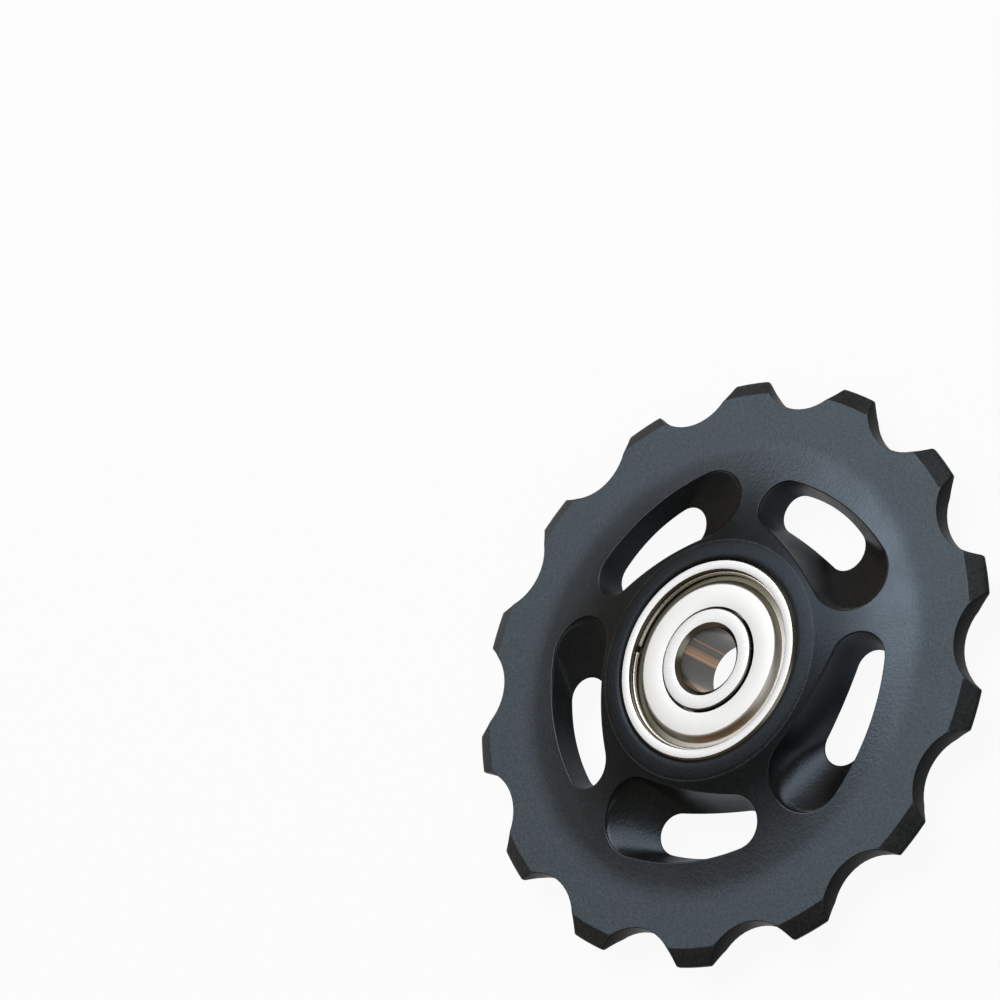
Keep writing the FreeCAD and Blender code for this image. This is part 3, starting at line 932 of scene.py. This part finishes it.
def anodised_finish(finishes, sizes):
    """Black anodised aluminium: deep black hub and cut walls, turned web, lighter blasted rim. The cut
    walls' black is partly the finish and partly painted shade, and the hub's edge carries a painted
    highlight.
    """
    level_facing = (0.90, 0.955)
    sloping_facing = (0.5, 0.8)
    ramp_top = (1.04 * MM, 1.1 * MM)
    middling = (0.3, 0.7)
    material, tree, shader = new_material("black anodised aluminium")
    place = add_node(tree, "ShaderNodeTexCoord", {})

    # Where each finish lies, from 0 to 1, by radius, facing and height
    reach = reach_node(tree, place)
    upright = upright_node(tree, place.outputs["Normal"])
    height = upright_node(tree, place.outputs["Object"])
    outward = ramp_node(tree, reach, (sizes.hub_edge - 0.5 * MM, sizes.web_outer))
    rim = step_node(tree, reach, sizes.web_outer, -0.6, 1.9)
    beyond = step_node(tree, reach, sizes.web_outer, -1.0, -0.8)
    outside = math_node(tree, "MAXIMUM", ramp_node(tree, height, ramp_top), beyond)
    face = math_node(tree, "MULTIPLY", ramp_node(tree, upright, level_facing), outside)
    # A thin band along the hub's edge, where a painted highlight is laid
    rising = step_node(tree, reach, sizes.hub_edge, -0.11, -0.02)
    falling = step_node(tree, reach, sizes.hub_edge, 0.02, 0.1, (1.0, 0.0))
    hub_edge_highlight = math_node(tree, "MULTIPLY", rising, falling)
    bevelled = math_node(tree, "MULTIPLY", rim, ramp_node(tree, upright, sloping_facing))

    # Blasted grain and slow drifts of tone
    points = place.outputs["Object"]
    grain = noise_node(tree, {"Vector": points, "Scale": 3400.0, "Detail": 3.0, "Roughness": 0.65})
    cloud = noise_node(tree, {"Vector": points, "Scale": 260.0, "Detail": 5.0, "Roughness": 0.6})

    # Colour
    turned = blend_node(tree, outward, finishes.hub_colour, finishes.web_colour)
    faced = blend_node(tree, rim, turned, finishes.rim_colour)
    # Painted highlight: the band along the hub's edge is made lighter
    with_edge_highlight = blend_node(tree, hub_edge_highlight, faced, finishes.hub_edge_highlight_colour)
    # Cut walls, ramps and tooth gaps darker than the faces, partly as painted shade
    cut = blend_node(tree, bevelled, finishes.cut_colour_and_shade, finishes.bevel_colour)
    speck = ramp_node(tree, grain, (0.3, 0.75), (0.68, 1.6))
    drift = ramp_node(tree, cloud, middling, (0.84, 1.18))
    shade = math_node(tree, "MULTIPLY", speck, drift)
    tone = vector_node(tree, "SCALE", {0: blend_node(tree, face, cut, with_edge_highlight), "Scale": shade})

    # Roughness
    smooth = ramp_node(tree, rim, (0.0, 1.0), (finishes.web_roughness, finishes.rim_roughness))
    sloping = ramp_node(tree, upright, sloping_facing, (finishes.wall_roughness, finishes.cut_roughness))
    milled = mix_node(tree, rim, sloping, finishes.bevel_roughness)
    rough = mix_node(tree, face, milled, smooth)
    uneven = ramp_node(tree, cloud, middling, (0.9, 1.1))

    # Sheen
    faces = ramp_node(tree, outward, (0.0, 1.0), (finishes.hub_sheen, finishes.face_sheen))
    gaps = mix_node(tree, bevelled, finishes.gap_sheen, finishes.bevel_sheen)
    cuts = mix_node(tree, rim, finishes.cut_sheen, gaps)
    set_inputs(tree, shader, {
        "Base Color": tone.outputs[0],
        "Roughness": math_node(tree, "MULTIPLY", rough, uneven),
        "Specular Tint": finishes.sheen_colour,
        "Specular IOR Level": mix_node(tree, face, cuts, faces),
        "Normal": bump_node(tree, grain, strength=0.65, distance=0.03 * MM)})
    return material


def steel_finish(name, tint, roughness, ring_scale, ring_depth, speck_scale, spread, zones=None):
    """Bright steel: fine rings from turning or grinding, and a faint speckle.

    The marks are half the rings plus the speckle, and the colour is lighter or darker
    by the spread with them. The zones, a function, may change the colour of parts.
    """
    marks_range = (0.35, 1.15)
    material, tree, shader = new_material(name)
    place = add_node(tree, "ShaderNodeTexCoord", {})
    reach = reach_node(tree, place)
    rings = noise_node(tree, {"W": reach, "Scale": ring_scale, "Detail": 3.0, "Roughness": 0.7},
                       noise_dimensions="1D")
    speck = noise_node(tree, {"Vector": place.outputs["Object"], "Scale": speck_scale, "Detail": 2.0})
    marks = math_node(tree, "MULTIPLY_ADD", rings, 0.5, speck)
    shade = ramp_node(tree, marks, marks_range, (1.0 - spread, 1.0 + spread), "LINEAR")
    base = vector_node(tree, "SCALE", {0: tuple(tint), "Scale": shade}).outputs[0]
    if zones:
        base = zones(tree, place, reach, base)
    set_inputs(tree, shader, {
        "Base Color": base,
        "Metallic": 1.0,
        "Roughness": ramp_node(tree, marks, marks_range, (roughness * 0.8, roughness * 1.2), "LINEAR"),
        "Normal": bump_node(tree, marks, strength=0.3, distance=ring_depth)})
    return material


def ring_zones(tree, place, reach, ground):
    """Ground faces stay bright; turned corners and steps are dark, as painted shade of the grooves and
    recesses; the bore is dark and streaked, as painted reflections.
    """
    finishes = bpy.context.scene.finishes
    bore = bpy.context.scene.bearing_sizes.bore
    flat = ramp_node(tree, upright_node(tree, place.outputs["Normal"]), (0.93, 0.99))
    # Faces that aren't flat get the darker colour, as painted shade
    turned = blend_node(tree, flat, finishes.turned_and_shade_colour, ground)
    # Painted reflections in the bore: brown and pale streaks round it, over a dark tone
    streak = noise_node(tree, {"Vector": around_node(tree, place), "Scale": 1.7, "Detail": 6.0,
                               "Roughness": 0.66})
    brown_reflection_share = ramp_node(tree, streak, (0.48, 0.58))
    bright_reflection_share = ramp_node(tree, streak, (0.57, 0.66))
    warm_reflection = blend_node(tree, brown_reflection_share, finishes.bore_dark_reflection_colour, finishes.bore_brown_reflection_colour)
    bore_with_reflections = blend_node(tree, bright_reflection_share, warm_reflection, finishes.bore_bright_reflection_colour)
    return blend_node(tree, step_node(tree, reach, bore, 0.0, 0.06), bore_with_reflections, turned)


def shield_zones(tree, place, reach, plate):
    """The shield's shoulder and margin are darker than its plate, as painted shade of the recess; darker
    still on one side, as a painted dark reflection, and brown on another, as a painted reflection.
    """
    finishes = bpy.context.scene.finishes
    size = bpy.context.scene.bearing_sizes
    bend = size.shield_plate
    foot = bend + size.shield_run
    around = around_node(tree, place)
    # Painted dark reflection on one side, painted brown reflection on another
    dark_reflection = side_node(tree, around, finishes.dark_reflection_side, (-0.85, 0.1))
    warm_reflection = side_node(tree, around, finishes.warm_reflection_side, (0.8, 0.97))
    shoulder = blend_node(tree, dark_reflection, finishes.shoulder_shade_colour, finishes.shoulder_dark_reflection_colour)
    shoulder_with_reflection = blend_node(tree, warm_reflection, shoulder, finishes.shoulder_warm_reflection_colour)
    margin = blend_node(tree, dark_reflection, finishes.margin_shade_colour, finishes.margin_dark_reflection_colour)
    # Shoulder and margin darker than the plate: painted shade of the recess
    slope = blend_node(tree, step_node(tree, reach, bend, -0.1, 0.15), plate, shoulder_with_reflection)
    return blend_node(tree, step_node(tree, reach, foot, -0.12, 0.08), slope, margin)


def floor_finish(finishes):
    """White floor: seen white, with part of its own shading kept so that a shadow shows."""
    material, tree, shader = new_material("white floor")
    set_inputs(tree, shader, {
        "Base Color": finishes.floor_colour,
        "Roughness": finishes.floor_roughness,
        "Specular IOR Level": 0.0})
    glow = add_node(tree, "ShaderNodeEmission", {"Strength": 1.0})
    rays = add_node(tree, "ShaderNodeLightPath", {}).outputs
    seen = math_node(tree, "MAXIMUM", rays["Is Camera Ray"], rays["Is Glossy Ray"])
    shown = math_node(tree, "MAXIMUM", seen, rays["Is Transmission Ray"])
    part = math_node(tree, "MULTIPLY", shown, finishes.floor_white)
    mix = add_node(tree, "ShaderNodeMixShader",
                   {"Fac": part, 1: shader.outputs["BSDF"], 2: glow.outputs["Emission"]})
    set_inputs(tree, tree.nodes["Material Output"], {"Surface": mix.outputs["Shader"]})
    return material


# Operators, one for each piece or group of like pieces


class JOCKEY_OT_wheel_body(bpy.types.Operator):
    """Make the toothed aluminium wheel with its dished web and swept slots"""

    bl_idname = "jockey.wheel_body"
    bl_label = "Wheel body"

    def execute(self, context):
        sizes = context.scene.wheel_sizes
        slot = context.scene.slot_sizes
        columns = SECTOR_ACROSS * slot.slots
        first_turn = slot.start - math.pi / slot.slots
        sector = slot_rows(sizes, slot)
        turns = slot.start + np.arange(slot.slots) * FULL_TURN / slot.slots
        grids = [turned_about_axle(sector, turn) for turn in turns]
        grids.append(rim_rows(sizes, first_turn, columns))
        grids.append(hub_rows(sizes, first_turn, columns))
        mesh = surface_mesh("wheel_surface", grids, WHEEL_WELD)
        material = anodised_finish(context.scene.finishes, sizes)
        add_piece(mesh, "wheel", "wheel_body", material)
        return {"FINISHED"}


class JOCKEY_OT_bearing_rings(bpy.types.Operator):
    """Make the inner and outer rings of the bearing"""

    bl_idname = "jockey.bearing_rings"
    bl_label = "Bearing rings"

    def execute(self, context):
        size = context.scene.bearing_sizes
        material = steel_finish(
            "ground bearing steel", context.scene.finishes.steel_colour, roughness=0.26,
            ring_scale=9000.0, ring_depth=0.004 * MM, speck_scale=7000.0, spread=0.12, zones=ring_zones)
        for node, profile, body in (
                ("outer_ring", outer_ring_profile(size), "wheel"),
                ("inner_ring", inner_ring_profile(size), "axle_side")):
            mesh = surface_mesh(node + "_surface", [turned_ring(profile)], BEARING_WELD)
            add_piece(mesh, body, node, material)
        return {"FINISHED"}


class JOCKEY_OT_shields(bpy.types.Operator):
    """Make the two pressed shields of the bearing"""

    bl_idname = "jockey.shields"
    bl_label = "Shields"

    def execute(self, context):
        profile = shield_profile(context.scene.bearing_sizes)
        material = steel_finish(
            "pressed shield sheet", context.scene.finishes.shield_colour, roughness=0.4,
            ring_scale=5200.0, ring_depth=0.003 * MM, speck_scale=5200.0, spread=0.05, zones=shield_zones)
        for name, side in SIDES:
            mesh = surface_mesh("shield_surface_" + name, [turned_ring(profile, side)], BEARING_WELD)
            add_piece(mesh, "wheel", "shield_" + name, material)
        return {"FINISHED"}


class JOCKEY_OT_snap_wires(bpy.types.Operator):
    """Make the two open wire rings that hold the shields"""

    bl_idname = "jockey.snap_wires"
    bl_label = "Snap wires"

    def execute(self, context):
        size = context.scene.bearing_sizes
        material = steel_finish(
            "drawn spring wire", context.scene.finishes.wire_colour_and_shade, roughness=0.28,
            ring_scale=2500.0, ring_depth=0.002 * MM, speck_scale=6000.0, spread=0.12)
        for name, side in SIDES:
            mesh = surface_mesh("snap_wire_surface_" + name, [snap_wire_rows(size, side)], BEARING_WELD)
            add_piece(mesh, "wheel", "snap_wire_" + name, material)
        return {"FINISHED"}


class JOCKEY_OT_balls_and_cage(bpy.types.Operator):
    """Give the balls, the cage halves and the rivets their finishes"""

    bl_idname = "jockey.balls_and_cage"
    bl_label = "Balls and cage"

    def execute(self, context):
        finishes = context.scene.finishes
        ball = steel_finish(
            "polished ball", finishes.ball_colour, roughness=0.08,
            ring_scale=4000.0, ring_depth=0.0005 * MM, speck_scale=900.0, spread=0.02)
        cage = steel_finish(
            "pressed cage sheet", finishes.cage_colour, roughness=0.38,
            ring_scale=3000.0, ring_depth=0.003 * MM, speck_scale=3500.0, spread=0.1)
        for name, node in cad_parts.items():
            for kind, material in (("ball", ball), ("cage", cage)):
                if name.startswith(kind):
                    node.data.materials.clear()
                    node.data.materials.append(material)
        return {"FINISHED"}


def add_softbox(scene, name, azimuth, elevation, spread, brightness):
    """A square lamp that faces the wheel.

    Its azimuth, its elevation and half its width as seen from the wheel are in degrees,
    and its power is brightness pi size^2.
    """
    distance = scene.stage_settings.lamp_distance
    azimuth = math.radians(azimuth)
    elevation = math.radians(elevation)
    level = math.cos(elevation)
    way = Vector((math.cos(azimuth) * level, math.sin(azimuth) * level, math.sin(elevation)))
    lamp = bpy.data.lights.new(name, "AREA")
    lamp.shape = "SQUARE"
    lamp.size = 2.0 * distance * math.tan(math.radians(spread))
    lamp.energy = brightness * math.pi * lamp.size ** 2
    box = bpy.data.objects.new(name, lamp)
    box.location = way * distance
    box.rotation_euler = way.to_track_quat("Z", "Y").to_euler()
    scene.collection.objects.link(box)


def add_room(scene):
    """The room's own light, warm and dim, and a little brighter behind the wheel."""
    stage = scene.stage_settings
    world = bpy.data.worlds.new("room")
    scene.world = world
    world.use_nodes = True
    tree = world.node_tree
    place = add_node(tree, "ShaderNodeTexCoord", {})
    parts = add_node(tree, "ShaderNodeSeparateXYZ", {0: place.outputs["Generated"]})
    depth = ramp_node(tree, parts.outputs["Y"], (-0.7, 0.4))
    light = blend_node(tree, depth, stage.room_front, stage.room_back)
    set_inputs(tree, tree.nodes["Background"], {"Color": light})


class JOCKEY_OT_stage(bpy.types.Operator):
    """Make the floor, the camera, the softboxes and the room's light"""

    bl_idname = "jockey.stage"
    bl_label = "Stage"

    def execute(self, context):
        scene = context.scene
        stage = scene.stage_settings
        half = stage.floor_size / 2.0
        low = CAD_BOX[0].z - stage.floor_gap
        floor = bpy.data.meshes.new("floor")
        floor.from_pydata([(-half, -half, low), (half, -half, low), (half, half, low), (-half, half, low)],
                          [], [(0, 1, 2, 3)])
        floor_piece = bpy.data.objects.new("floor", floor)
        scene.collection.objects.link(floor_piece)
        floor.materials.append(floor_finish(scene.finishes))

        lens = bpy.data.cameras.new("camera")
        lens.sensor_width = 36.0
        lens.lens = stage.lens
        lens.clip_start = 0.01
        lens.clip_end = 10.0
        camera = bpy.data.objects.new("camera", lens)
        camera.location = stage.camera_place
        camera.rotation_euler = stage.camera_turn
        scene.collection.objects.link(camera)
        scene.camera = camera

        for name, azimuth, elevation, spread, brightness in (
                ("key softbox", 49.0, 61.5, 13.0, stage.key_level),
                ("back softbox", 82.0, 53.0, 13.0, stage.back_level),
                ("right softbox", 14.0, 48.0, 10.0, stage.right_level),
                ("front softbox", -90.0, 42.0, 22.0, stage.front_level)):
            add_softbox(scene, name, azimuth, elevation, spread, brightness)
        add_room(scene)
        scene.view_settings.view_transform = "Standard"
        return {"FINISHED"}


class JOCKEY_PT_panel(bpy.types.Panel):
    """Sidebar panel that lists the pieces"""

    bl_idname = "JOCKEY_PT_panel"
    bl_label = "Jockey Wheel"
    bl_space_type = "VIEW_3D"
    bl_region_type = "UI"
    bl_category = "Jockey Wheel"

    def draw(self, context):
        column = self.layout.column()
        for operator in OPERATORS:
            column.operator(operator.bl_idname)


GROUPS = (
    (WheelSizes, "wheel_sizes"),
    (SlotSizes, "slot_sizes"),
    (BearingSizes, "bearing_sizes"),
    (Finishes, "finishes"),
    (StageSettings, "stage_settings"),
)
OPERATORS = (
    JOCKEY_OT_wheel_body,
    JOCKEY_OT_bearing_rings,
    JOCKEY_OT_shields,
    JOCKEY_OT_snap_wires,
    JOCKEY_OT_balls_and_cage,
    JOCKEY_OT_stage,
)


def register():
    """Makes the settings, the operators and the panel known to Blender."""
    for group, place in GROUPS:
        bpy.utils.register_class(group)
        setattr(bpy.types.Scene, place, bpy.props.PointerProperty(type=group))
    for operator in OPERATORS:
        bpy.utils.register_class(operator)
    bpy.utils.register_class(JOCKEY_PT_panel)


def unregister():
    """Takes the panel, the operators and the settings out again."""
    bpy.utils.unregister_class(JOCKEY_PT_panel)
    for operator in reversed(OPERATORS):
        bpy.utils.unregister_class(operator)
    for group, place in reversed(GROUPS):
        delattr(bpy.types.Scene, place)
        bpy.utils.unregister_class(group)


def main():
    """Make every piece and the stage."""
    register()
    bpy.ops.jockey.wheel_body()
    bpy.ops.jockey.bearing_rings()
    bpy.ops.jockey.shields()
    bpy.ops.jockey.snap_wires()
    bpy.ops.jockey.balls_and_cage()
    bpy.ops.jockey.stage()


if __name__ == "__main__":
    main()
